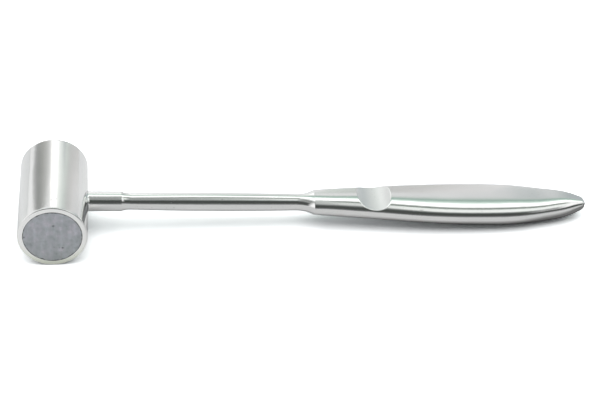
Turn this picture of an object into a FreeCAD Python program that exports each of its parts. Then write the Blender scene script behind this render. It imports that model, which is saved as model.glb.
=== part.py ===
import FreeCAD, Part
import math
import os
import Sketcher

# A lead-filled bone mallet lying on its side on a table, which is the plane Z = 0.
# The head is a steel tube with a flush lead core and lies along Y; the handle points along +X.
# Each body is drawn about the head's centre with the handle's axis along X, then turned down
# about Y by one small angle, because the grip is thinner than the head and rests on its heel.

SIZES = {
    # head
    "head_diameter": 26.0,
    "head_length": 46.0,
    "sleeve_wall": 2.0,
    "rim_bevel": 0.4,
    "bore_chamfer": 0.15,
    # spigot of the handle, which the cast lead holds in the head
    "spigot_diameter": 5.5,
    "spigot_depth": 12.0,
    # collar next to the head, then the shank, swelling a little between its ends
    "root_fillet": 1.2,
    "collar_length": 12.7,
    "collar_rise": 0.6,
    "collar_run_out": 3.2,
    "shank_diameter": 6.4,
    "shank_length": 64.1,
    "shank_swell": 0.36,
    "flare_length": 6.6,
    # grip: each station is a distance from the ridge where the flare ends,
    # and each drop is how far the section's centre lies below the shank's axis
    "ridge_width": 11.6,
    "ridge_height": 8.3,
    "waist_station": 23.1,
    "waist_width": 16.5,
    "waist_height": 9.55,
    "waist_drop": 0.12,
    "shoulder_station": 48.0,
    "shoulder_width": 21.1,
    "shoulder_height": 10.8,
    "shoulder_drop": 0.69,
    "belly_station": 67.0,
    "belly_width": 21.9,
    "belly_height": 11.5,
    "belly_drop": 0.91,
    "heel_station": 80.4,
    "heel_width": 20.2,
    "heel_height": 11.1,
    "heel_drop": 0.96,
    "nose_station": 92.0,
    "nose_width": 15.7,
    "nose_height": 10.0,
    "nose_drop": 0.8,
    "tail_station": 101.4,
    "tail_width": 10.4,
    "tail_height": 7.9,
    "tail_drop": 0.21,
    "tip_station": 107.6,
    "tip_width": 4.0,
    "tip_height": 3.6,
    "tip_drop": -0.25,
    "tip_round": 1.2,
    # thumb scoop across the top of the grip at its waist
    "scoop_radius": 8.7,
    "scoop_floor": 1.94,
    "scoop_edge": 0.8,
}

doc = FreeCAD.newDocument("mallet")
sizes = doc.addObject("Spreadsheet::Sheet", "sizes")
for row, (name, value) in enumerate(SIZES.items(), start=1):
    sizes.set(f"A{row}", name)
    sizes.set(f"B{row}", str(value))
    sizes.setAlias(f"B{row}", name)
doc.recompute()

# Places along the handle's axis, as distances from the head's centre.
HEAD_RADIUS = "(sizes.head_diameter / 2)"
BORE_DIAMETER = "(sizes.head_diameter - 2 * sizes.sleeve_wall)"
SPIGOT_END = f"({HEAD_RADIUS} - sizes.spigot_depth)"
COLLAR_RADIUS = "(sizes.shank_diameter / 2 + sizes.collar_rise)"
COLLAR_END = f"({HEAD_RADIUS} + sizes.collar_length)"
SHANK_START = f"({COLLAR_END} + sizes.collar_run_out)"
SHANK_END = f"({SHANK_START} + sizes.shank_length)"
RIDGE = f"({SHANK_END} + sizes.flare_length)"
TIP = f"({RIDGE} + sizes.tip_station)"

# The barrel and the heel of the grip both touch the table once the handle drops by this angle.
HEEL_DEPTH = "(sizes.heel_height / 2 + sizes.heel_drop)"
TILT = f"asin(({HEAD_RADIUS} - {HEEL_DEPTH}) / ({RIDGE} + sizes.heel_station))"


def new_body(label):
    """A body drawn about the head's centre and laid on the table, the origin under its middle."""
    body = doc.addObject("PartDesign::Body", label)
    body.Label = label
    body.Placement.Rotation = FreeCAD.Rotation(FreeCAD.Vector(0, 1, 0), 1)
    body.setExpression("Placement.Rotation.Angle", TILT)
    body.setExpression("Placement.Base.x", f"({HEAD_RADIUS} - {TIP} * cos({TILT})) / 2")
    body.setExpression("Placement.Base.z", HEAD_RADIUS)
    return body


def plane_sketch(body, name, role, offset="0"):
    """A sketch on one of the body's origin planes, moved along the plane's normal by offset."""
    sketch = body.newObject("Sketcher::SketchObject", name)
    plane = next(item for item in body.Origin.OriginFeatures if item.Role == role)
    sketch.AttachmentSupport = [(plane, "")]
    sketch.MapMode = "FlatFace"
    sketch.setExpression("AttachmentOffset.Base.z", offset)
    return sketch


def section_sketch(name, station):
    """A free sketch across the handle's axis, for a loft."""
    sketch = doc.addObject("Sketcher::SketchObject", name)
    sketch.Placement.Rotation = FreeCAD.Rotation(FreeCAD.Vector(1, 1, 1), 120)
    sketch.setExpression("Placement.Base.x", station)
    return sketch


def bind(sketch, name, expression, *constraint):
    """Add a dimension to a sketch and tie it to the sheet."""
    index = sketch.addConstraint(Sketcher.Constraint(*constraint))
    sketch.renameConstraint(index, name)
    sketch.setExpression(f"Constraints.{name}", expression)


def circle(sketch, diameter):
    """Draw a circle about the sketch's origin."""
    edge = sketch.addGeometry(Part.Circle(FreeCAD.Vector(), FreeCAD.Vector(0, 0, 1), 5), False)
    sketch.addConstraint(Sketcher.Constraint("Coincident", edge, 3, -1, 1))
    bind(sketch, "diameter", diameter, "Diameter", edge, 10)
    return sketch


def oval(sketch, width, height, drop):
    """Draw an oval with its centre below the sketch's origin by drop."""
    edge = sketch.addGeometry(Part.Ellipse(FreeCAD.Vector(), 8, 5), False)
    sketch.exposeInternalGeometry(edge)
    long_axis = edge + 1
    short_axis = edge + 2
    sketch.addConstraint(Sketcher.Constraint("PointOnObject", edge, 3, -2))
    sketch.addConstraint(Sketcher.Constraint("Horizontal", long_axis))
    bind(sketch, "width", width, "Distance", long_axis, 16)
    bind(sketch, "height", height, "Distance", short_axis, 10)
    bind(sketch, "centre", f"-({drop})", "DistanceY", -1, 1, edge, 3, 0)
    return sketch


def arc(centre, start, end):
    """The arc about centre that runs counter-clockwise from start to end."""
    first, last = (math.atan2(point.y - centre.y, point.x - centre.x) for point in (start, end))
    whole = Part.Circle(centre, FreeCAD.Vector(0, 0, 1), start.distanceToPoint(centre))
    return Part.ArcOfCircle(whole, first, last)


def bend(length, rise):
    """The radius of the arc that climbs by rise over length from a level start."""
    return f"(({length}) ^ 2 + ({rise}) ^ 2) / (2 * ({rise}))"


def both_ways(body, kind, name, sketch, length):
    """A pad or pocket of a sketch, as far to one side of its plane as to the other."""
    feature = body.newObject(f"PartDesign::{kind}", name)
    feature.Profile = sketch
    feature.Midplane = True
    feature.setExpression("Length", length)
    return feature


def drilled(body, name, sketch):
    """A pocket that leaves the head on the handle's side."""
    feature = body.newObject("PartDesign::Pocket", name)
    feature.Profile = sketch
    feature.Reversed = True
    feature.setExpression("Length", "sizes.head_diameter")
    return feature


def dressed(body, kind, name, base, is_wanted, size):
    """A fillet or chamfer on those edges of base that pass the test."""
    doc.recompute()
    edges = [f"Edge{i}" for i, edge in enumerate(base.Shape.Edges, start=1) if is_wanted(edge)]
    feature = body.newObject(f"PartDesign::{kind}", name)
    feature.Base = (base, edges)
    feature.setExpression("Radius" if kind == "Fillet" else "Size", size)
    return feature


def loft(name, sections):
    """A smooth solid through the sections."""
    solid = doc.addObject("Part::Loft", name)
    solid.Sections = sections
    solid.Solid = True
    solid.MaxDegree = 3
    return solid


def end_circle(radius):
    """A test for the circles of one radius at the two ends of the head."""
    def is_wanted(edge):
        curve = edge.Curve
        if not isinstance(curve, Part.Circle):
            return False
        at_end = math.isclose(abs(curve.Center.y), sizes.head_length / 2, abs_tol=1e-4)
        return at_end and math.isclose(curve.Radius, radius, abs_tol=1e-4)
    return is_wanted


# The sleeve is steel tube, faced at both ends and drilled through one side for the spigot.
sleeve = new_body("head_sleeve")
tube_outside = circle(plane_sketch(sleeve, "tube_outside", "XZ_Plane"), "sizes.head_diameter")
both_ways(sleeve, "Pad", "tube", tube_outside, "sizes.head_length")
tube_inside = circle(plane_sketch(sleeve, "tube_inside", "XZ_Plane"), BORE_DIAMETER)
bore = both_ways(sleeve, "Pocket", "bore", tube_inside, "2 * sizes.head_length")
rims = dressed(sleeve, "Chamfer", "rims", bore, end_circle(sizes.head_diameter / 2), "sizes.rim_bevel")
bore_radius = sizes.head_diameter / 2 - sizes.sleeve_wall
dressed(sleeve, "Chamfer", "bore_edges", rims, end_circle(bore_radius), "sizes.bore_chamfer")
drilled(sleeve, "side_hole", circle(plane_sketch(sleeve, "side_hole_circle", "YZ_Plane"),
                                    "sizes.spigot_diameter"))

# The core is lead, cast into the sleeve around the spigot and dressed level with the rims.
core = new_body("lead_core")
slug_circle = circle(plane_sketch(core, "slug_circle", "XZ_Plane"), BORE_DIAMETER)
both_ways(core, "Pad", "slug", slug_circle, "sizes.head_length")
drilled(core, "socket", circle(plane_sketch(core, "socket_circle", "YZ_Plane", SPIGOT_END),
                               "sizes.spigot_diameter"))

# The handle is one forging: turned collar and shank, hollow flare, ground grip with a thumb scoop.
# The flare widens the round shank to the oval ridge, ever faster.
FLARE_STEPS = 3
flare_sections = [circle(section_sketch("flare_start", SHANK_END), "sizes.shank_diameter")]
for step in range(1, FLARE_STEPS + 1):
    share = f"({step} / {FLARE_STEPS})"
    sketch = section_sketch(f"flare_section_{step}", f"{SHANK_END} + sizes.flare_length * {share}")
    flare_sections.append(oval(
        sketch,
        f"sizes.shank_diameter + (sizes.ridge_width - sizes.shank_diameter) * {share} ^ 2",
        f"sizes.shank_diameter + (sizes.ridge_height - sizes.shank_diameter) * {share} ^ 2",
        "0"))

# The grip is a flattened leaf: an oval at the ridge, widest at the belly and blunt at the tip.
# One loft widens it up to the belly and another closes it down to the tip.
grip_sections = [oval(section_sketch("ridge_section", RIDGE), "sizes.ridge_width",
                      "sizes.ridge_height", "0")]
places = ["waist", "shoulder", "belly", "heel", "nose", "tail", "tip"]
for place in places:
    sketch = section_sketch(f"{place}_section", f"{RIDGE} + sizes.{place}_station")
    grip_sections.append(oval(sketch, f"sizes.{place}_width", f"sizes.{place}_height",
                              f"sizes.{place}_drop"))
belly = places.index("belly") + 1

leaf = doc.addObject("Part::MultiFuse", "leaf")
leaf.Shapes = [
    loft("flare", flare_sections),
    loft("grip_front", grip_sections[:belly + 1]),
    loft("grip_rear", grip_sections[belly:]),
]

handle = new_body("handle")
handle.BaseFeature = leaf

# The shank is turned from this half profile, drawn from the head's centre to the flare.
collar_radius = sizes.shank_diameter / 2 + sizes.collar_rise
shank_radius = sizes.shank_diameter / 2
collar_end = sizes.head_diameter / 2 + sizes.collar_length
shank_start = collar_end + sizes.collar_run_out
shank_end = shank_start + sizes.shank_length
run_out_bend = (sizes.collar_run_out ** 2 + sizes.collar_rise ** 2) / (2 * sizes.collar_rise)
swell_bend = ((sizes.shank_length / 2) ** 2 + sizes.shank_swell ** 2) / (2 * sizes.shank_swell)
centre = FreeCAD.Vector(0, 0, 0)
collar_inner = FreeCAD.Vector(0, collar_radius, 0)
collar_outer = FreeCAD.Vector(collar_end, collar_radius, 0)
shank_inner = FreeCAD.Vector(shank_start, shank_radius, 0)
shank_outer = FreeCAD.Vector(shank_end, shank_radius, 0)
shank_axis_end = FreeCAD.Vector(shank_end, 0, 0)
run_out_centre = FreeCAD.Vector(shank_start, shank_radius + run_out_bend, 0)
swell_centre = FreeCAD.Vector((shank_start + shank_end) / 2,
                              shank_radius + sizes.shank_swell - swell_bend, 0)
profile = plane_sketch(handle, "shank_profile", "XZ_Plane")
inner_end, collar_side, run_out, swell, outer_end, axis_side = profile.addGeometry([
    Part.LineSegment(centre, collar_inner),
    Part.LineSegment(collar_inner, collar_outer),
    arc(run_out_centre, collar_outer, shank_inner),
    arc(swell_centre, shank_outer, shank_inner),
    Part.LineSegment(shank_outer, shank_axis_end),
    Part.LineSegment(shank_axis_end, centre),
], False)
profile.addConstraint([
    Sketcher.Constraint("Coincident", inner_end, 1, -1, 1),
    Sketcher.Constraint("Coincident", inner_end, 2, collar_side, 1),
    Sketcher.Constraint("Coincident", collar_side, 2, run_out, 1),
    Sketcher.Constraint("Coincident", run_out, 2, swell, 2),
    Sketcher.Constraint("Coincident", swell, 1, outer_end, 1),
    Sketcher.Constraint("Coincident", outer_end, 2, axis_side, 1),
    Sketcher.Constraint("Coincident", axis_side, 2, inner_end, 1),
    Sketcher.Constraint("Vertical", inner_end),
    Sketcher.Constraint("Horizontal", collar_side),
    Sketcher.Constraint("Vertical", outer_end),
    Sketcher.Constraint("Horizontal", axis_side),
])
bind(profile, "collar_radius", COLLAR_RADIUS, "Distance", inner_end, collar_radius)
bind(profile, "collar_end", COLLAR_END, "DistanceX", collar_side, 1, collar_side, 2, collar_end)
bind(profile, "shank_start", SHANK_START, "DistanceX", -1, 1, run_out, 2, shank_start)
bind(profile, "shank_end", SHANK_END, "DistanceX", axis_side, 2, axis_side, 1, shank_end)
bind(profile, "shank_inner_radius", "sizes.shank_diameter / 2",
     "DistanceY", -1, 1, run_out, 2, shank_radius)
bind(profile, "shank_outer_radius", "sizes.shank_diameter / 2", "Distance", outer_end, shank_radius)
bind(profile, "run_out_bend", bend("sizes.collar_run_out", "sizes.collar_rise"),
     "Radius", run_out, run_out_bend)
bind(profile, "swell_bend", bend("sizes.shank_length / 2", "sizes.shank_swell"),
     "Radius", swell, swell_bend)
shank = handle.newObject("PartDesign::Revolution", "shank")
shank.Profile = profile
shank.ReferenceAxis = (profile, ["H_Axis"])
shank.Angle = 360

# The collar gets its root fillet against a copy of the barrel, which is then cut away again,
# so that the collar sits on the real barrel like a saddle.
SEAT_LENGTH = f"4 * ({COLLAR_RADIUS} + sizes.root_fillet)"
barrel_circle = circle(plane_sketch(handle, "barrel_circle", "XZ_Plane"), "sizes.head_diameter")
barrel = both_ways(handle, "Pad", "barrel", barrel_circle, SEAT_LENGTH)


def meets_barrel(edge):
    """True for the curve where the collar meets the barrel."""
    box = edge.BoundBox
    barrel_radius = sizes.head_diameter / 2
    on_handle_side = box.XMin > barrel_radius / 2 and box.XMax < barrel_radius + 0.001
    return on_handle_side and box.YLength < 2 * collar_radius + 0.001


dressed(handle, "Fillet", "root", barrel, meets_barrel, "sizes.root_fillet")
seat_circle = circle(plane_sketch(handle, "seat_circle", "XZ_Plane"), "sizes.head_diameter")
both_ways(handle, "Pocket", "seat", seat_circle, SEAT_LENGTH)
spigot = handle.newObject("PartDesign::Pad", "spigot")
spigot.Profile = circle(plane_sketch(handle, "spigot_circle", "YZ_Plane", SPIGOT_END),
                        "sizes.spigot_diameter")
spigot.setExpression("Length", "sizes.spigot_depth + sizes.collar_length / 2")

# The tip is blunt, with a rounded rim.
tip_reach = shank_end + sizes.flare_length + sizes.tip_station
dressed(handle, "Fillet", "tip", spigot, lambda edge: edge.BoundBox.XMin > tip_reach - 0.01,
        "sizes.tip_round")

# The scoop is ground straight across the top with a round wheel, and its rim is polished over.
wheel_across = shank_end + sizes.flare_length + sizes.waist_station
wheel_up = sizes.scoop_floor - sizes.waist_drop + sizes.scoop_radius
wheel_circle = Part.Circle(FreeCAD.Vector(wheel_across, wheel_up, 0), FreeCAD.Vector(0, 0, 1),
                           sizes.scoop_radius)
scoop_sketch = plane_sketch(handle, "scoop_circle", "XZ_Plane")
wheel = scoop_sketch.addGeometry(wheel_circle, False)
bind(scoop_sketch, "across", f"{RIDGE} + sizes.waist_station",
     "DistanceX", -1, 1, wheel, 3, wheel_across)
bind(scoop_sketch, "up", "sizes.scoop_floor - sizes.waist_drop + sizes.scoop_radius",
     "DistanceY", -1, 1, wheel, 3, wheel_up)
bind(scoop_sketch, "radius", "sizes.scoop_radius", "Radius", wheel, sizes.scoop_radius)
scoop = both_ways(handle, "Pocket", "scoop", scoop_sketch, "2 * sizes.waist_width")


def on_wheel(edge):
    """True for an edge that lies on the wheel's round face."""
    distances = [math.hypot(point.x - wheel_across, point.z - wheel_up)
                 for point in edge.discretize(5)]
    return all(math.isclose(distance, sizes.scoop_radius, abs_tol=0.001) for distance in distances)


dressed(handle, "Fillet", "scoop_rim", scoop, on_wheel, "sizes.scoop_edge")

doc.recompute()
for item in doc.Objects:
    if "Invalid" in item.State or "Error" in item.State:
        raise RuntimeError(f"{item.Name} could not be made")

os.makedirs("parts", exist_ok=True)
for body in (sleeve, core, handle):
    if body.Shape.isNull() or not body.Shape.isValid():
        raise RuntimeError(f"{body.Label} has no valid shape")
    body.Shape.exportStep(os.path.join("parts", f"{body.Label}.step"))
    print(f"{body.Label}: {len(body.Shape.Solids)} solid, {body.Shape.Volume:.1f} cubic mm")
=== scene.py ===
import bpy
import math
import numpy as np
from mathutils import Matrix, Vector


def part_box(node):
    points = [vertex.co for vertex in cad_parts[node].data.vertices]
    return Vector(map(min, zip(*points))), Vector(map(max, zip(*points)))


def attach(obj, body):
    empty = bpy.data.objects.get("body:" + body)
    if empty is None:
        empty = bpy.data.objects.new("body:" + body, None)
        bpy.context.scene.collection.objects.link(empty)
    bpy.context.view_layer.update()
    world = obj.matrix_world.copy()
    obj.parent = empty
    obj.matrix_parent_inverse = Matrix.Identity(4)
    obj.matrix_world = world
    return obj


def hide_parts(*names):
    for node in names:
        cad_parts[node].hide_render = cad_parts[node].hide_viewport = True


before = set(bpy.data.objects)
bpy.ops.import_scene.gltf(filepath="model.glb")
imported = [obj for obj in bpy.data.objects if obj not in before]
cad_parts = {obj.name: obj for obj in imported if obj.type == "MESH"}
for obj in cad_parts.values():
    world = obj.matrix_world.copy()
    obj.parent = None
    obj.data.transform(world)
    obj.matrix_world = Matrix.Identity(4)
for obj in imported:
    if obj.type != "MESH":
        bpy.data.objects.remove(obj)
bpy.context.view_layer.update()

# Head sleeve. A length of stainless tube, faced and polished at both ends, with a hole drilled
# through one side for the handle's spigot. Its section is turned about the head's axis.
sleeve_low, sleeve_high = [Vector(corner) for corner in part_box("head_sleeve")]
HEAD_CENTRE = (sleeve_low + sleeve_high) / 2
HEAD_RADIUS = (sleeve_high.z - sleeve_low.z) / 2
HALF_HEAD = (sleeve_high.y - sleeve_low.y) / 2
SLEEVE_WALL = 0.0020
RIM_ROUND = 0.00045
BORE_ROUND = 0.00018
SPIGOT_RADIUS = 0.00275
HANDLE_DROP = math.radians(2.066)
HEAD_TURNS = 288


def quarter_round(centre, radius, start):
    """Points of a quarter turn about a corner's centre, counter-clockwise from the start angle."""
    angles = np.radians(start + np.linspace(0, 90, 9))
    return [(centre[0] + radius * math.cos(angle), centre[1] + radius * math.sin(angle))
            for angle in angles]


def tube_section():
    """The wall's outline, as distances out from the barrel's surface and along the head's axis."""
    rows = np.linspace(3 * RIM_ROUND - HALF_HEAD, HALF_HEAD - 3 * RIM_ROUND, 40)
    inside = BORE_ROUND - SLEEVE_WALL
    points = [(0, row) for row in rows]
    points += quarter_round((-RIM_ROUND, HALF_HEAD - RIM_ROUND), RIM_ROUND, 0)
    points += quarter_round((inside, HALF_HEAD - BORE_ROUND), BORE_ROUND, 90)
    points += [(-SLEEVE_WALL, row) for row in rows[::-4]]
    points += quarter_round((inside, BORE_ROUND - HALF_HEAD), BORE_ROUND, 180)
    points += quarter_round((-RIM_ROUND, RIM_ROUND - HALF_HEAD), RIM_ROUND, 270)
    return points


def drawn_outline(name, points, closed):
    """A curve through points of the XY plane."""
    curve = bpy.data.curves.new(name, "CURVE")
    curve.dimensions = "3D"
    spline = curve.splines.new("POLY")
    spline.points.add(len(points) - 1)
    for point, place in zip(spline.points, points):
        point.co = (place[0], place[1], 0, 1)
    spline.use_cyclic_u = closed
    outline = bpy.data.objects.new(name, curve)
    bpy.context.scene.collection.objects.link(outline)
    return outline


def add(tree, kind, links=(), **settings):
    """Add a node, set its properties and feed its inputs from sockets or values."""
    node = tree.nodes.new(kind)
    for key, value in settings.items():
        setattr(node, key, value)
    for socket, source in dict(links).items():
        if isinstance(source, bpy.types.NodeSocket):
            tree.links.new(source, node.inputs[socket])
        else:
            node.inputs[socket].default_value = source
    return node


def turned_and_drilled():
    """A tree that turns a section about the head's axis and drills the spigot's hole in it."""
    tree = bpy.data.node_groups.new("turned and drilled", "GeometryNodeTree")
    tree.interface.new_socket("Geometry", in_out="INPUT", socket_type="NodeSocketGeometry")
    for label, kind in (("Barrel Radius", "Float"), ("Turns", "Int"), ("Head Centre", "Vector"),
                        ("Hole Radius", "Float"), ("Hole Direction", "Rotation"),
                        ("Finish", "Material")):
        tree.interface.new_socket(label, in_out="INPUT", socket_type="NodeSocket" + kind)
    tree.interface.new_socket("Geometry", in_out="OUTPUT", socket_type="NodeSocketGeometry")
    given = tree.nodes.new("NodeGroupInput").outputs
    rail = add(tree, "GeometryNodeCurvePrimitiveCircle", {
        "Resolution": given["Turns"], "Radius": given["Barrel Radius"]})
    wall = add(tree, "GeometryNodeCurveToMesh", {
        "Curve": rail.outputs["Curve"], "Profile Curve": given["Geometry"]})
    closed = add(tree, "GeometryNodeMergeByDistance", {
        "Geometry": wall.outputs["Mesh"], "Distance": 0.000002})
    laid = add(tree, "GeometryNodeTransform", {
        "Geometry": closed.outputs["Geometry"], "Translation": given["Head Centre"],
        "Rotation": (math.radians(90), 0, 0)})
    drill = add(tree, "GeometryNodeMeshCylinder", {
        "Vertices": 96, "Radius": given["Hole Radius"], "Depth": 2 * HEAD_RADIUS})
    drill_out = add(tree, "GeometryNodeTransform", {
        "Geometry": drill.outputs["Mesh"], "Translation": (0, 0, HEAD_RADIUS + 0.001)})
    drill_laid = add(tree, "GeometryNodeTransform", {
        "Geometry": drill_out.outputs["Geometry"], "Translation": given["Head Centre"],
        "Rotation": given["Hole Direction"]})
    drilled = add(tree, "GeometryNodeMeshBoolean", {"Mesh 1": laid.outputs["Geometry"]},
                  operation="DIFFERENCE", solver="EXACT")
    tree.links.new(drill_laid.outputs["Geometry"], drilled.inputs["Mesh 2"])
    smooth = add(tree, "GeometryNodeSetShadeSmooth", {"Geometry": drilled.outputs["Mesh"]})
    real = add(tree, "GeometryNodeRealizeInstances", {"Geometry": smooth.outputs["Geometry"]})
    finished = add(tree, "GeometryNodeSetMaterial", {
        "Geometry": real.outputs["Geometry"], "Material": given["Finish"]})
    add(tree, "NodeGroupOutput", {"Geometry": finished.outputs["Geometry"]})
    return tree


def turned_piece(name, section, finish):
    """Run the tree on a section and keep the result as a plain mesh."""
    tree = turned_and_drilled()
    modifier = section.modifiers.new("turned", "NODES")
    modifier.node_group = tree
    values = {"Barrel Radius": HEAD_RADIUS, "Turns": HEAD_TURNS, "Head Centre": HEAD_CENTRE,
              "Hole Radius": SPIGOT_RADIUS, "Finish": finish,
              "Hole Direction": (0, math.radians(90) + HANDLE_DROP, 0)}
    for item in tree.interface.items_tree:
        if item.in_out == "INPUT" and item.name in values:
            modifier[item.identifier] = values[item.name]
    evaluated = section.evaluated_get(bpy.context.evaluated_depsgraph_get())
    mesh = bpy.data.meshes.new_from_object(evaluated)
    section.modifiers.remove(modifier)
    bpy.data.objects.remove(section)
    piece = bpy.data.objects.new(name, mesh)
    bpy.context.scene.collection.objects.link(piece)
    return piece


def drawn_noise(tree, scale, detail=3.0):
    """A noise pattern in the piece's own place, with its own scale along each axis."""
    place = add(tree, "ShaderNodeTexCoord").outputs["Object"]
    stretched = add(tree, "ShaderNodeMapping", {"Vector": place, "Scale": scale})
    noise = add(tree, "ShaderNodeTexNoise", {
        "Vector": stretched.outputs["Vector"], "Scale": 1.0, "Detail": detail})
    return noise.outputs["Fac"]


def toned(tree, value, stops):
    """A colour ramp over the given (place, colour) stops."""
    ramp = add(tree, "ShaderNodeValToRGB", {"Fac": value})
    while len(ramp.color_ramp.elements) < len(stops):
        ramp.color_ramp.elements.new(0.5)
    for element, (place, colour) in zip(ramp.color_ramp.elements, stops):
        element.position = place
        element.color = (*colour, 1)
    return ramp.outputs["Color"]


def fading(tree, value, start, stop, low=0.0, high=1.0):
    """A number that goes from low to high while the value goes from start to stop."""
    node = add(tree, "ShaderNodeMapRange", {
        "Value": value, "From Min": start, "From Max": stop, "To Min": low, "To Max": high})
    return node.outputs["Result"]


def reckon(tree, operation, *values):
    """The result of one piece of arithmetic on sockets or numbers."""
    node = add(tree, "ShaderNodeMath", dict(enumerate(values)), operation=operation)
    return node.outputs["Value"]


def mixed(tree, share, first, second, blend="MIX"):
    """Two colours mixed, or one blended over the other."""
    node = add(tree, "ShaderNodeMixRGB", {"Fac": share, "Color1": first, "Color2": second},
               blend_type=blend)
    return node.outputs["Color"]


def new_finish(name):
    """A fresh material, with its tree and its shader."""
    material = bpy.data.materials.new(name)
    material.use_nodes = True
    return material, material.node_tree, material.node_tree.nodes["Principled BSDF"]


def satin_steel(name, grain, roughness):
    """Stainless steel with fine grain drawn along one axis, a faintly uneven polish and specks.

    Returns the material with its tree, its shader and its roughness.
    """
    material, tree, shader = new_finish(name)
    shader.inputs["Metallic"].default_value = 1.0
    cloud = drawn_noise(tree, (60, 60, 60))
    tone = toned(tree, cloud, [(0.3, (0.755, 0.755, 0.75)), (0.7, (0.80, 0.795, 0.79))])
    specks = fading(tree, drawn_noise(tree, (1100, 1100, 1100), detail=1.0), 0.72, 0.79)
    marked = mixed(tree, specks, tone, (0.55, 0.54, 0.53, 1))
    tree.links.new(marked, shader.inputs["Base Color"])
    lines = drawn_noise(tree, grain, detail=4.0)
    gloss = fading(tree, lines, 0.3, 0.7, roughness - 0.03, roughness + 0.03)
    speckled = reckon(tree, "MULTIPLY_ADD", specks, 0.15, gloss)
    tree.links.new(speckled, shader.inputs["Roughness"])
    uneven = add(tree, "ShaderNodeBump", {
        "Strength": 1.0, "Distance": 0.00010, "Height": drawn_noise(tree, (75, 75, 75))})
    scratch = add(tree, "ShaderNodeBump", {
        "Strength": 0.1, "Distance": 0.00002, "Height": lines, "Normal": uneven.outputs["Normal"]})
    tree.links.new(scratch.outputs["Normal"], shader.inputs["Normal"])
    return material, tree, shader, speckled


sleeve_steel, *_ = satin_steel("polished tube", (9000, 150, 9000), 0.14)
head_sleeve = turned_piece(
    "head_tube", drawn_outline("tube section", tube_section(), True), sleeve_steel)
head_sleeve.data.set_sharp_from_angle(angle=math.radians(35))
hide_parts("head_sleeve")
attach(head_sleeve, "root")

# Lead core. Lead cast into the sleeve round the spigot and dressed level with both rims. Its
# faces are dull blue-grey, faintly mottled and marked by the instruments they have struck.
CORE_RADIUS = HEAD_RADIUS - SLEEVE_WALL
CORE_EDGE = 0.00025
CORE_SINK = 0.00003
# (right, up, radius, depth) of each mark on the near face, seen from in front, in millimetres
NEAR_MARKS = [(0.5, 4.8, 0.50, 0.22), (0.4, -4.8, 0.30, 0.12), (2.4, -5.0, 0.34, 0.12),
              (3.5, -5.2, 0.40, 0.24), (2.3, -7.1, 0.28, 0.10), (2.9, -8.1, 0.28, 0.10),
              (3.6, -9.1, 0.28, 0.08), (-8.0, -3.6, 0.60, 0.07), (-8.2, -2.6, 0.50, 0.05),
              (-10.5, 0.0, 0.45, 0.22), (-2.6, 6.6, 0.45, 0.06), (-2.2, 5.6, 0.40, 0.05)]


def core_section():
    """Half of the core's outline: near face from the middle out, side, far face back in."""
    face_rows = np.linspace(-HEAD_RADIUS, -SLEEVE_WALL - CORE_EDGE, 70)
    level = HALF_HEAD - CORE_SINK
    corner = -SLEEVE_WALL - CORE_EDGE
    points = [(row, -level) for row in face_rows[:-1]]
    points += quarter_round((corner, CORE_EDGE - level), CORE_EDGE, 270)
    points += [(-SLEEVE_WALL, row) for row in np.linspace(-level, level, 12)[1:-1]]
    points += quarter_round((corner, level - CORE_EDGE), CORE_EDGE, 0)
    points += [(row, level) for row in face_rows[-2::-1]]
    return points


def reach_from_axis(tree, centre):
    """How far a place lies from the line along the head's axis through a point."""
    place = add(tree, "ShaderNodeTexCoord").outputs["Object"]
    away = add(tree, "ShaderNodeVectorMath", {0: place, 1: centre}, operation="SUBTRACT")
    flat = add(tree, "ShaderNodeVectorMath", {0: away.outputs["Vector"], 1: (1, 0, 1)},
               operation="MULTIPLY")
    reach = add(tree, "ShaderNodeVectorMath", {0: flat.outputs["Vector"]}, operation="LENGTH")
    return reach.outputs["Value"]


def cast_lead():
    """Dull lead with mauve and greenish mottling over blue-grey."""
    material, tree, shader = new_finish("cast lead")
    shader.inputs["Metallic"].default_value = 0.35
    mottle = drawn_noise(tree, (420, 420, 420), detail=5.0)
    tone = toned(tree, mottle, [(0.3, (0.36, 0.385, 0.41)), (0.45, (0.435, 0.455, 0.485)),
                                (0.55, (0.465, 0.475, 0.515)), (0.7, (0.555, 0.54, 0.595))])
    streaks = toned(tree, drawn_noise(tree, (750, 750, 190)), [
        (0.35, (0.94, 0.94, 0.95)), (0.50, (1, 1, 1)), (0.66, (1.10, 1.11, 1.12))])
    streaked = mixed(tree, 1.0, tone, streaks, blend="MULTIPLY")
    # Painted shade darkens the joint with the sleeve, wider in some places than in others.
    ragged = drawn_noise(tree, (700, 700, 700), detail=2.0)
    edge = reckon(tree, "MULTIPLY_ADD", ragged, 0.0014, reach_from_axis(tree, HEAD_CENTRE))
    joint_painted_shade = fading(tree, edge, CORE_RADIUS + 0.0004, CORE_RADIUS + 0.0007)
    # Painted shade darkens the dents of the near face too, whose bottoms lie deeper than the face.
    place = add(tree, "ShaderNodeSeparateXYZ", {
        "Vector": add(tree, "ShaderNodeTexCoord").outputs["Object"]})
    near_face = HEAD_CENTRE.y - HALF_HEAD + CORE_SINK
    dent_painted_shade = toned(tree, fading(tree, place.outputs["Y"], near_face, near_face + 0.001), [
        (0.0, (0, 0, 0)), (0.03, (0, 0, 0)), (0.16, (0.6, 0.6, 0.6)), (0.3, (0.6, 0.6, 0.6)),
        (0.5, (0, 0, 0))])
    # Both painted shades darken the lead towards this dark blue-grey.
    lead_with_painted_shade = mixed(tree, reckon(tree, "MAXIMUM", joint_painted_shade, dent_painted_shade), streaked,
                    (0.10, 0.105, 0.11, 1))
    tree.links.new(lead_with_painted_shade, shader.inputs["Base Color"])
    rough = drawn_noise(tree, (900, 900, 900), detail=4.0)
    tree.links.new(fading(tree, rough, 0.3, 0.7, 0.45, 0.6), shader.inputs["Roughness"])
    pits = add(tree, "ShaderNodeBump", {"Strength": 0.3, "Distance": 0.0001, "Height": rough})
    tree.links.new(pits.outputs["Normal"], shader.inputs["Normal"])
    return material


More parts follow.
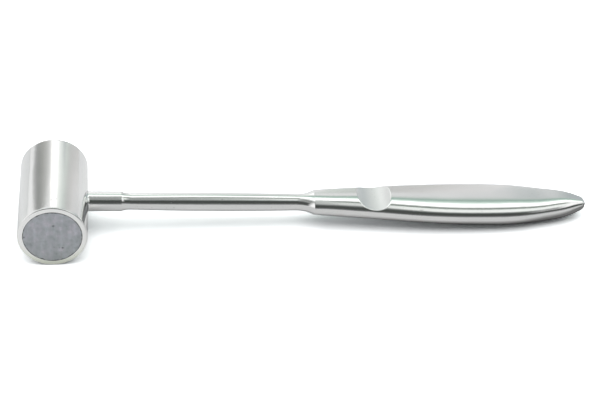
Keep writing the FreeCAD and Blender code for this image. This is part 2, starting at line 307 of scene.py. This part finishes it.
def struck(mesh, marks):
    """Press the marks into the core's near face."""
    places = np.empty(3 * len(mesh.vertices))
    mesh.vertices.foreach_get("co", places)
    places = places.reshape(-1, 3)
    near = places[:, 1] < HEAD_CENTRE.y - HALF_HEAD + 0.0001
    for right, up, radius, depth in marks:
        away = np.hypot(places[:, 0] - HEAD_CENTRE.x - right / 1000,
                        places[:, 2] - HEAD_CENTRE.z - up / 1000) / (radius / 1000)
        places[:, 1] += np.where(near, depth / 1000 * np.exp(-away ** 2), 0)
    mesh.vertices.foreach_set("co", places.ravel())
    mesh.update()


lead_core = turned_piece(
    "cast_lead_core", drawn_outline("core section", core_section(), False), cast_lead())
struck(lead_core.data, NEAR_MARKS)
lead_core.data.set_sharp_from_angle(angle=math.radians(50))
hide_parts("lead_core")
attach(lead_core, "root")

# Handle. One steel forging: a spigot that the lead grips, a turned collar whose root fillet beds
# on the barrel, a slim shank that swells a little, a flare up to a crisp ridge, and a flattened
# leaf-shaped grip with a thumb scoop ground across its top. All of it is ground and polished.

# Lengths here are millimetres along the handle from the head's centre.
BARREL = 1000 * HEAD_RADIUS
SPIGOT = 1000 * SPIGOT_RADIUS
SPIGOT_TIP = 1.0
COLLAR = 3.8
ROOT_FILLET = 1.2
COLLAR_END = 25.7
RUN_OUT = 3.2
RUN_OUT_ROUND = 8.833
SHANK = 3.2
SHANK_START = 28.9
SHANK_END = 93.0
SHANK_SWELL = 0.36
RIDGE = 99.6
# (place, half width, height over and depth under the widest line, drop of that line)
GRIP_SECTIONS = np.array([
    (99.6, 5.85, 4.05, 4.05, 0.0), (122.7, 8.20, 4.95, 4.72, 0.27),
    (147.6, 10.58, 5.02, 5.70, 0.34), (166.6, 10.93, 5.00, 6.46, 0.26),
    (180.0, 10.10, 4.92, 6.20, 0.31), (191.6, 7.82, 4.24, 5.80, 0.04),
    (201.0, 5.18, 3.70, 4.23, -0.06), (207.2, 2.02, 1.82, 1.81, -0.27)])
# How square the grip's section is over and under the widest line; 2 is an ellipse.
SQUARE_OVER = 2.35
SQUARE_UNDER = 2.05
NOSE_START = 205.6
TIP_END = 207.2
SCOOP_PLACE = 122.7
SCOOP_WHEEL = 8.7
SCOOP_WHEEL_UP = 10.52
SCOOP_SOFTNESS = 0.35
SCOOP_START, SCOOP_STOP = 114, 133.5
WHEEL_LIMIT = 0.98
EDGE_SOFTNESS = 0.10
COLUMNS = 176
TURN, LEAN = math.cos(HANDLE_DROP), math.sin(HANDLE_DROP)
column_angles = 2 * math.pi * np.arange(COLUMNS) / COLUMNS
across, over = np.cos(column_angles), np.sin(column_angles)


def spline_through(places, values, at):
    """A natural cubic spline through the values."""
    gap = np.diff(places)
    rise = np.diff(values) / gap
    size = len(places)
    system = np.eye(size)
    wanted = np.zeros(size)
    for row in range(1, size - 1):
        system[row, row - 1:row + 2] = gap[row - 1], 2 * (gap[row - 1] + gap[row]), gap[row]
        wanted[row] = 6 * (rise[row] - rise[row - 1])
    bend = np.linalg.solve(system, wanted)
    left = np.clip(np.searchsorted(places, at) - 1, 0, size - 2)
    step = at - places[left]
    slope = rise[left] - gap[left] * (2 * bend[left] + bend[left + 1]) / 6
    return (values[left] + slope * step + bend[left] * step ** 2 / 2
            + (bend[left + 1] - bend[left]) / (6 * gap[left]) * step ** 3)


def handle_sizes(at):
    """Half width, height over, depth under, drop and squareness along the handle."""
    run = SHANK + RUN_OUT_ROUND - np.sqrt(
        RUN_OUT_ROUND ** 2 - np.clip(SHANK_START - at, 0, RUN_OUT) ** 2)
    middle = (SHANK_START + SHANK_END) / 2
    half = (SHANK_END - SHANK_START) / 2
    shank = SHANK + SHANK_SWELL * (1 - ((at - middle) / half) ** 2)
    flare = np.clip((at - SHANK_END) / (RIDGE - SHANK_END), 0, 1) ** 2
    sizes = []
    for column in (1, 2, 3):
        grip = spline_through(GRIP_SECTIONS[:, 0], GRIP_SECTIONS[:, column], np.maximum(at, RIDGE))
        flaring = SHANK + (GRIP_SECTIONS[0, column] - SHANK) * flare
        sizes.append(np.select([at < COLLAR_END, at < SHANK_START, at < SHANK_END, at < RIDGE],
                               [COLLAR, run, shank, flaring], grip))
    drop = spline_through(GRIP_SECTIONS[:, 0], GRIP_SECTIONS[:, 4], np.maximum(at, RIDGE))
    square = np.clip((at - SHANK_END) / (RIDGE + 6 - SHANK_END), 0, 1)
    return (*sizes, np.where(at < RIDGE, 0, drop), square)


def softened_sizes(at):
    """The same sizes with the ridges polished over."""
    offsets = EDGE_SOFTNESS * np.linspace(-2.5, 2.5, 21)
    weights = np.exp(-(offsets / EDGE_SOFTNESS) ** 2 / 2)
    weights /= weights.sum()
    total = np.zeros((5, len(at)))
    for offset, weight in zip(offsets, weights):
        total += weight * np.array(handle_sizes(at + offset))
    return total


def oval_row(along, half_width, height, depth, drop=0.0, square=0.0):
    """One ring of points round the handle, as (along, across, over)."""
    power = 2 / (2 + square * (np.where(over > 0, SQUARE_OVER, SQUARE_UNDER) - 2))
    reach = np.where(over > 0, height, depth)
    return np.stack([np.full(COLUMNS, along),
                     half_width * np.sign(across) * np.abs(across) ** power,
                     reach * np.sign(over) * np.abs(over) ** power - drop], 1)


def root_rows():
    """The spigot, the seat on the barrel, the root fillet and the collar's straight part."""
    rows = [oval_row(SPIGOT_TIP, reach, reach, reach) for reach in np.linspace(0.2, 1, 5) * SPIGOT]
    rows += [oval_row(place, SPIGOT, SPIGOT, SPIGOT) for place in np.linspace(1.5, 12.0, 8)]
    ball_over = (COLLAR + ROOT_FILLET) * over
    ball_along = np.sqrt((BARREL + ROOT_FILLET) ** 2 - ball_over ** 2)
    ball = np.stack([ball_along, (COLLAR + ROOT_FILLET) * across, ball_over], 1)
    to_barrel = -np.stack([ball_along, 0 * over, ball_over], 1) / (BARREL + ROOT_FILLET)
    to_collar = -np.stack([0 * over, across, over], 1)
    touch = ball + ROOT_FILLET * to_barrel
    for part in np.linspace(0, 1, 5)[:-1]:
        seat = (1 - part) * SPIGOT * np.stack([0 * over, across, over], 1) + part * touch
        seat[:, 0] = np.sqrt(BARREL ** 2 - seat[:, 2] ** 2)
        rows.append(seat)
    sweep = np.arccos(np.sum(to_barrel * to_collar, 1))[:, None]
    for part in np.linspace(0, 1, 15):
        toward = (np.sin((1 - part) * sweep) * to_barrel + np.sin(part * sweep) * to_collar)
        rows.append(ball + ROOT_FILLET * toward / np.sin(sweep))
    collar_stop = COLLAR_END - 0.4
    for part in np.linspace(0, 1, 12)[1:]:
        row = oval_row(0, COLLAR, COLLAR, COLLAR)
        row[:, 0] = (1 - part) * ball_along + part * collar_stop
        rows.append(row)
    return rows


def nose_rows(last, slopes):
    """Close the tip over a round nose that carries on from the last section."""
    rows = []
    reach = (TIP_END - NOSE_START) / 2
    for part in np.linspace(0, 1, 15)[1:-1]:
        weights = np.array([(1 - part) ** 3, 3 * part * (1 - part) ** 2,
                            3 * part ** 2 * (1 - part), part ** 3])
        place = weights @ [NOSE_START, NOSE_START + reach, TIP_END, TIP_END]
        sizes = [weights @ [last[k], last[k] + reach * slopes[k], 0.45 * last[k], 0]
                 for k in (0, 1, 2)]
        rows.append(oval_row(place, *sizes, last[3] + (place - NOSE_START) * slopes[3], last[4]))
    return rows


def handle_mesh():
    """The whole handle as rings of points joined by faces, closed at both ends."""
    # The rings stand closest at the collar's end and the ridge, and close across the scoop.
    stations = np.concatenate([
        np.arange(COLLAR_END - 0.3, COLLAR_END + 0.4, 0.05), np.arange(26.2, SHANK_START, 0.25),
        np.arange(SHANK_START, SHANK_END, 0.8), np.arange(SHANK_END, RIDGE - 0.4, 0.3),
        np.arange(RIDGE - 0.35, RIDGE + 0.4, 0.05), np.arange(100.2, SCOOP_START, 0.6),
        np.arange(SCOOP_START, SCOOP_STOP, 0.16),
        np.arange(SCOOP_STOP + 0.1, NOSE_START, 0.55), [NOSE_START]])
    sizes = softened_sizes(stations)
    before = np.array([NOSE_START - 0.05, NOSE_START])
    slopes = np.diff(np.array(softened_sizes(before)), axis=1)[:, 0] / 0.05
    rows = root_rows()
    rows += [oval_row(station, *row) for station, row in zip(stations, sizes.T)]
    rows += nose_rows(sizes[:, -1], slopes)
    points = np.concatenate(rows)
    from_wheel = np.clip(np.abs(points[:, 0] - SCOOP_PLACE) / SCOOP_WHEEL, 0, WHEEL_LIMIT)
    cut = SCOOP_WHEEL_UP - SCOOP_WHEEL * np.sqrt(1 - from_wheel ** 2)
    share = np.clip(0.5 + 0.5 * (points[:, 2] - cut) / SCOOP_SOFTNESS, 0, 1)
    scooped = (1 - share) * points[:, 2] + share * cut - SCOOP_SOFTNESS * share * (1 - share)
    points[:, 2] = np.where(from_wheel < WHEEL_LIMIT, scooped, points[:, 2])
    tip_over = -(sizes[3, -1] + (TIP_END - NOSE_START) * slopes[3])
    points = np.concatenate([points, [(SPIGOT_TIP, 0, 0), (TIP_END, 0, tip_over)]]) / 1000
    placed = np.stack([HEAD_CENTRE.x + TURN * points[:, 0] + LEAN * points[:, 2],
                       HEAD_CENTRE.y + points[:, 1],
                       HEAD_CENTRE.z - LEAN * points[:, 0] + TURN * points[:, 2]], 1)
    column = np.arange(COLUMNS)
    following = (column + 1) % COLUMNS
    starts = COLUMNS * np.arange(len(rows) - 1)[:, None]
    quads = np.stack([starts + column, starts + following, starts + COLUMNS + following,
                      starts + COLUMNS + column], 2).reshape(-1, 4)
    last = COLUMNS * (len(rows) - 1)
    first_fan = [(COLUMNS * len(rows), later, now) for now, later in zip(column, following)]
    last_fan = [(COLUMNS * len(rows) + 1, last + now, last + later)
                for now, later in zip(column, following)]
    mesh = bpy.data.meshes.new("handle")
    mesh.from_pydata(placed.tolist(), [], quads.tolist() + first_fan + last_fan)
    mesh.shade_smooth()
    mesh.set_sharp_from_angle(angle=math.radians(35))
    return mesh


handle = bpy.data.objects.new("forged_handle", handle_mesh())
bpy.context.scene.collection.objects.link(handle)
handle_steel, handle_tree, handle_shader, handle_gloss = satin_steel(
    "ground and polished steel", (150, 9000, 9000), 0.13)
# The scoop is left as the wheel ground it, duller than the rest.
wheel_centre = (HEAD_CENTRE.x + (TURN * SCOOP_PLACE + LEAN * SCOOP_WHEEL_UP) / 1000, 0,
                HEAD_CENTRE.z + (TURN * SCOOP_WHEEL_UP - LEAN * SCOOP_PLACE) / 1000)
in_scoop = fading(handle_tree, reach_from_axis(handle_tree, wheel_centre),
                  (SCOOP_WHEEL + 0.12) / 1000, (SCOOP_WHEEL + 0.02) / 1000, 0.0, 0.30)
handle_tree.links.new(reckon(handle_tree, "ADD", handle_gloss, in_scoop),
                      handle_shader.inputs["Roughness"])
handle.data.materials.append(handle_steel)
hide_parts("handle")
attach(handle, "root")

# Table. A plain white table that the mallet lies on. To the camera it is as white as in an
# overexposed picture, to the light it is pale, and in the steel it shows painted light and shade.
floor_mesh = bpy.data.meshes.new("table top")
floor_mesh.from_pydata([(-6, -6, 0), (6, -6, 0), (6, 6, 0), (-6, 6, 0)], [], [(0, 1, 2, 3)])
table_top = bpy.data.objects.new("table top", floor_mesh)
bpy.context.scene.collection.objects.link(table_top)
table_white, table_tree, table_shader = new_finish("white table")
table_shader.inputs["Base Color"].default_value = (0.9, 0.9, 0.9, 1)
table_shader.inputs["Roughness"].default_value = 0.9
table_shader.inputs["Specular IOR Level"].default_value = 0.0
on_table = add(table_tree, "ShaderNodeSeparateXYZ", {
    "Vector": add(table_tree, "ShaderNodeTexCoord").outputs["Object"]}).outputs
# In the steel it is painted brightest behind the mallet and a little less bright in front.
table_tone = toned(table_tree, fading(table_tree, on_table["Y"], -0.30, 0.10), [
    (0.0, (0.60, 0.60, 0.60)), (0.55, (0.82, 0.815, 0.82)), (0.72, (0.86, 0.855, 0.86)),
    (0.85, (1.02, 1.02, 1.03)), (1.0, (1.02, 1.02, 1.03))])
# Painted light brightens it in front of the head; painted shade makes it faintly beige at the
# head's foot.
near_head = reckon(table_tree, "MULTIPLY", fading(table_tree, on_table["X"], -0.078, -0.088),
                   fading(table_tree, on_table["Y"], -0.018, -0.024))
brighter = reckon(table_tree, "MULTIPLY_ADD", near_head, 0.3, 1.0)
lit_table = mixed(table_tree, 1.0, table_tone, brighter, blend="MULTIPLY")
foot_painted_shade = reckon(table_tree, "MULTIPLY", near_head,
                 fading(table_tree, on_table["Y"], -0.036, -0.026))
table_painted_light = mixed(table_tree, foot_painted_shade, lit_table, (0.94, 0.97, 0.86, 1))
# A strip along the grip is painted darker, as the grip's shade.
off_line = reckon(table_tree, "ABSOLUTE", on_table["Y"])
shade = mixed(table_tree, fading(table_tree, on_table["X"], 0.0, 0.06), (1, 1, 1, 1),
              fading(table_tree, off_line, 0.009, 0.017, 0.3, 1.0))
painted_table_in_steel = mixed(table_tree, 1.0, table_painted_light, shade, blend="MULTIPLY")
path = add(table_tree, "ShaderNodeLightPath").outputs
reflected_once = reckon(table_tree, "COMPARE", reckon(
    table_tree, "MULTIPLY", path["Is Glossy Ray"], path["Ray Depth"]), 1.0, 0.1)
reflected_again = reckon(table_tree, "GREATER_THAN", path["Ray Depth"], 1.5)
look = table_shader.outputs["BSDF"]
# Rays reflected once see the table's painted light and shade; later bounces see painted shade, so
# the hollow between barrel and table stays dark.
for share, colour in ((reflected_again, (0.35, 0.36, 0.37, 1)), (reflected_once, painted_table_in_steel),
                      (path["Is Camera Ray"], (1.93, 1.95, 1.97, 1))):
    matt = add(table_tree, "ShaderNodeBsdfDiffuse", {"Color": colour})
    look = add(table_tree, "ShaderNodeMixShader", {
        0: share, 1: look, 2: matt.outputs["BSDF"]}).outputs["Shader"]
table_tree.links.new(look, table_tree.nodes["Material Output"].inputs["Surface"])
floor_mesh.materials.append(table_white)

# Room. Pale walls behind the mallet, a bright ceiling light and the dark room on the
# photographer's side, which the steel shows as bands along its length.
# Light round the mallet's length, as (degrees from the camera's horizon over the top, colour)
OVERHEAD = [(-10, (0.66, 0.66, 0.66)), (0, (0.45, 0.455, 0.46)), (6, (0.27, 0.28, 0.28)),
            (12, (0.16, 0.165, 0.165)), (18, (0.10, 0.11, 0.105)), (24, (0.074, 0.080, 0.075)),
            (44, (0.074, 0.084, 0.078)), (49, (0.13, 0.145, 0.135)), (54, (0.28, 0.30, 0.29)),
            (60, (0.55, 0.58, 0.56)), (66, (0.90, 0.95, 0.92)), (71, (1.12, 1.16, 1.13)),
            (78, (1.05, 1.10, 1.06)), (84, (0.55, 0.62, 0.57)), (88, (0.20, 0.24, 0.21)),
            (92, (0.22, 0.26, 0.23)), (98, (0.80, 0.85, 0.81)), (102, (1.9, 1.9, 1.9))]
# The same for what leans towards the head, which sees past the panel's end
OVERHEAD_ASIDE = [(-10, (0.60, 0.60, 0.60)), (0, (0.31, 0.315, 0.32)), (6, (0.17, 0.175, 0.175)),
                  (12, (0.11, 0.12, 0.115)), (18, (0.09, 0.10, 0.095)),
                  (24, (0.074, 0.080, 0.075)), (40, (0.09, 0.10, 0.095)),
                  (48, (0.18, 0.19, 0.185)), (54, (0.36, 0.37, 0.365)),
                  (60, (0.44, 0.46, 0.45)), (66, (0.54, 0.57, 0.55)), (72, (0.66, 0.68, 0.67)),
                  (84, (0.73, 0.76, 0.75)), (92, (0.95, 0.98, 0.96)), (99, (1.6, 1.6, 1.6))]
# Both go on in the same way over the ceiling light and down the wall behind.
PAST_OVERHEAD = [(112, (1.9, 1.95, 1.92)), (117, (1.05, 1.18, 1.11)), (121, (0.68, 0.84, 0.76)),
                 (126, (0.36, 0.50, 0.44)), (131, (0.45, 0.57, 0.51)), (137, (0.77, 0.82, 0.79)),
                 (143, (0.81, 0.82, 0.82)), (185, (0.78, 0.79, 0.79)), (190, (0.90, 0.90, 0.90))]
# Light across the wall behind, as (sideways part of the direction, colour)
WALL_BEHIND = [(-0.20, (1.01, 1.02, 1.02)), (0.03, (1.00, 1.02, 1.02)),
               (0.11, (0.93, 0.94, 0.94)), (0.24, (0.82, 0.835, 0.84)),
               (0.32, (0.64, 0.68, 0.68)), (0.42, (0.53, 0.58, 0.59)),
               (0.62, (0.53, 0.58, 0.60))]
LOWEST, HIGHEST = -10, 190
room = bpy.data.worlds.new("studio")
bpy.context.scene.world = room
room.use_nodes = True
room_tree = room.node_tree
toward = add(room_tree, "ShaderNodeSeparateXYZ", {
    "Vector": add(room_tree, "ShaderNodeTexCoord").outputs["Generated"]}).outputs
round_angle = reckon(room_tree, "ARCTAN2", toward["Z"],
                     reckon(room_tree, "MULTIPLY", toward["Y"], -1.0))
round_share = fading(room_tree, round_angle, math.radians(LOWEST), math.radians(HIGHEST))
aside, along = [toned(room_tree, round_share, [
    ((angle - LOWEST) / (HIGHEST - LOWEST), colour) for angle, colour in lights + PAST_OVERHEAD])
    for lights in (OVERHEAD_ASIDE, OVERHEAD)]
overhead = mixed(room_tree, fading(room_tree, toward["X"], 0.02, 0.08), aside, along)
wall_behind = toned(room_tree, fading(room_tree, toward["X"], -1.0, 1.0),
                    [((sideways + 1) / 2, colour) for sideways, colour in WALL_BEHIND])
behind = fading(room_tree, round_angle, math.radians(128), math.radians(140))
room_light = mixed(room_tree, behind, overhead, wall_behind)
# Two more soft lights stand off the mallet's ends, on the photographer's side.
off_tip = reckon(room_tree, "MULTIPLY", fading(room_tree, toward["X"], 0.50, 0.68),
                 fading(room_tree, toward["Z"], 0.38, 0.52))
off_ends = reckon(room_tree, "MAXIMUM", fading(room_tree, toward["X"], -0.62, -0.78), off_tip)
end_share = reckon(room_tree, "MULTIPLY", off_ends, fading(room_tree, toward["Y"], 0.3, 0.0))
with_ends = mixed(room_tree, end_share, room_light, (1.25, 1.25, 1.25, 1))
background = room_tree.nodes["Background"]
room_tree.links.new(with_ends, background.inputs["Color"])
# The walls and panels shine in the steel. Dull surfaces get most of their light from the key
# light below.
on_dull = add(room_tree, "ShaderNodeLightPath").outputs["Is Diffuse Ray"]
room_tree.links.new(fading(room_tree, on_dull, 0.0, 1.0, 1.0, 0.45),
                    background.inputs["Strength"])

# Key light. A long softbox above, a little to the photographer's side, for what is dull.
KEY_HEIGHT = math.radians(77)
KEY_AWAY = 2.0
key_data = bpy.data.lights.new("key light", "AREA")
key_data.shape = "RECTANGLE"
key_data.size = 3.5
key_data.size_y = 1.9
key_data.energy = 30
key_light = bpy.data.objects.new("key light", key_data)
key_light.location = (0, -KEY_AWAY * math.cos(KEY_HEIGHT), KEY_AWAY * math.sin(KEY_HEIGHT))
key_light.rotation_euler = (math.radians(90) - KEY_HEIGHT, 0, 0)
key_light.visible_glossy = False
key_light.visible_camera = False
bpy.context.scene.collection.objects.link(key_light)

# Panels. Lamps and walls near enough to the mallet to show in the steel at their true place.
# Only the steel sees them.


def panel(name, left, right, lower, upper, tones, raised=0.0):
    """A glowing panel between two edges given as (y, z) places, toned from left to right.

    Raised is how much higher the lower edge is at its right end.
    """
    mesh = bpy.data.meshes.new(name)
    mesh.from_pydata([(left, *lower), (right, lower[0], lower[1] + raised), (right, *upper),
                      (left, *upper)], [], [(0, 1, 2, 3)])
    board = bpy.data.objects.new(name, mesh)
    bpy.context.scene.collection.objects.link(board)
    board.visible_camera = False
    board.visible_diffuse = False
    board.visible_shadow = False
    glow, tree, _ = new_finish(name)
    place = add(tree, "ShaderNodeSeparateXYZ", {
        "Vector": add(tree, "ShaderNodeTexCoord").outputs["Object"]})
    share = fading(tree, place.outputs["X"], left, right)
    shine = add(tree, "ShaderNodeEmission", {"Color": toned(tree, share, tones)})
    tree.links.new(shine.outputs["Emission"], tree.nodes["Material Output"].inputs["Surface"])
    mesh.materials.append(glow)


# A strip light gives the barrel its white line, and the shaded wall beside it the grey one.
panel("strip_light", -0.139, 0.041, (0.324, 0.196), (0.324, 0.300), [
    (0.0, (0.86, 0.86, 0.85)), (0.05, (1.2, 1.2, 1.18)), (0.14, (1.6, 1.6, 1.58)),
    (0.50, (1.6, 1.61, 1.6)), (0.62, (1.15, 1.18, 1.15)), (0.80, (0.94, 1.00, 0.96)),
    (1.0, (0.80, 0.86, 0.82))])
panel("shaded_wall", -0.325, -0.139, (0.324, 0.075), (0.324, 0.255), [
    (0.0, (0.62, 0.63, 0.63)), (0.08, (0.46, 0.47, 0.46)), (0.19, (0.33, 0.34, 0.335)),
    (0.32, (0.35, 0.36, 0.35)), (0.50, (0.42, 0.43, 0.41)), (0.67, (0.50, 0.51, 0.49)),
    (0.88, (0.67, 0.68, 0.67)), (1.0, (0.86, 0.86, 0.85))], raised=0.130)
panel("open_wall", 0.041, 0.165, (0.324, 0.0), (0.324, 0.238), [
    (0.0, (0.80, 0.86, 0.82)), (0.22, (0.70, 0.74, 0.71)), (0.38, (0.66, 0.67, 0.66)),
    (0.60, (0.71, 0.71, 0.70)), (0.80, (0.84, 0.84, 0.84)), (1.0, (0.90, 0.90, 0.90))])
# A light above, on the photographer's side, draws the grip's lower white line and fades out
# towards the head.
panel("front_light", -0.25, 0.35, (-0.168, 0.300), (-0.036, 0.300), [
    (0.0, (0.30, 0.31, 0.30)), (0.35, (0.40, 0.42, 0.41)), (0.44, (0.62, 0.65, 0.63)),
    (0.54, (1.05, 1.09, 1.06)), (0.80, (1.12, 1.16, 1.13)), (1.0, (1.12, 1.16, 1.13))])

# Camera. The photographer looks down on the table from the head's side through a long lens,
# and the picture leans a little clockwise.
LOOK_DOWN = math.radians(35.232)
LOOK_ASIDE = math.radians(7.002)
PICTURE_LEAN = math.radians(2.643)
DISTANCE = 0.6803
LENS_MM = 106.52
AIM = Vector((-0.00290, -0.00924, 0.01626))
level = Vector((math.sin(LOOK_ASIDE), math.cos(LOOK_ASIDE), 0))
sight = math.cos(LOOK_DOWN) * level - math.sin(LOOK_DOWN) * Vector((0, 0, 1))
camera_right = Vector((math.cos(LOOK_ASIDE), -math.sin(LOOK_ASIDE), 0))
camera_up = camera_right.cross(sight)
leaning_right = math.cos(PICTURE_LEAN) * camera_right + math.sin(PICTURE_LEAN) * camera_up
leaning_up = math.cos(PICTURE_LEAN) * camera_up - math.sin(PICTURE_LEAN) * camera_right
camera = bpy.data.objects.new("camera", bpy.data.cameras.new("camera"))
camera.data.lens = LENS_MM
camera.data.clip_start = 0.05
camera.matrix_world = Matrix.Translation(AIM - DISTANCE * sight) @ Matrix(
    (leaning_right, leaning_up, -sight)).transposed().to_4x4()
bpy.context.scene.collection.objects.link(camera)
bpy.context.scene.camera = camera

bpy.context.scene.view_settings.view_transform = "Standard"
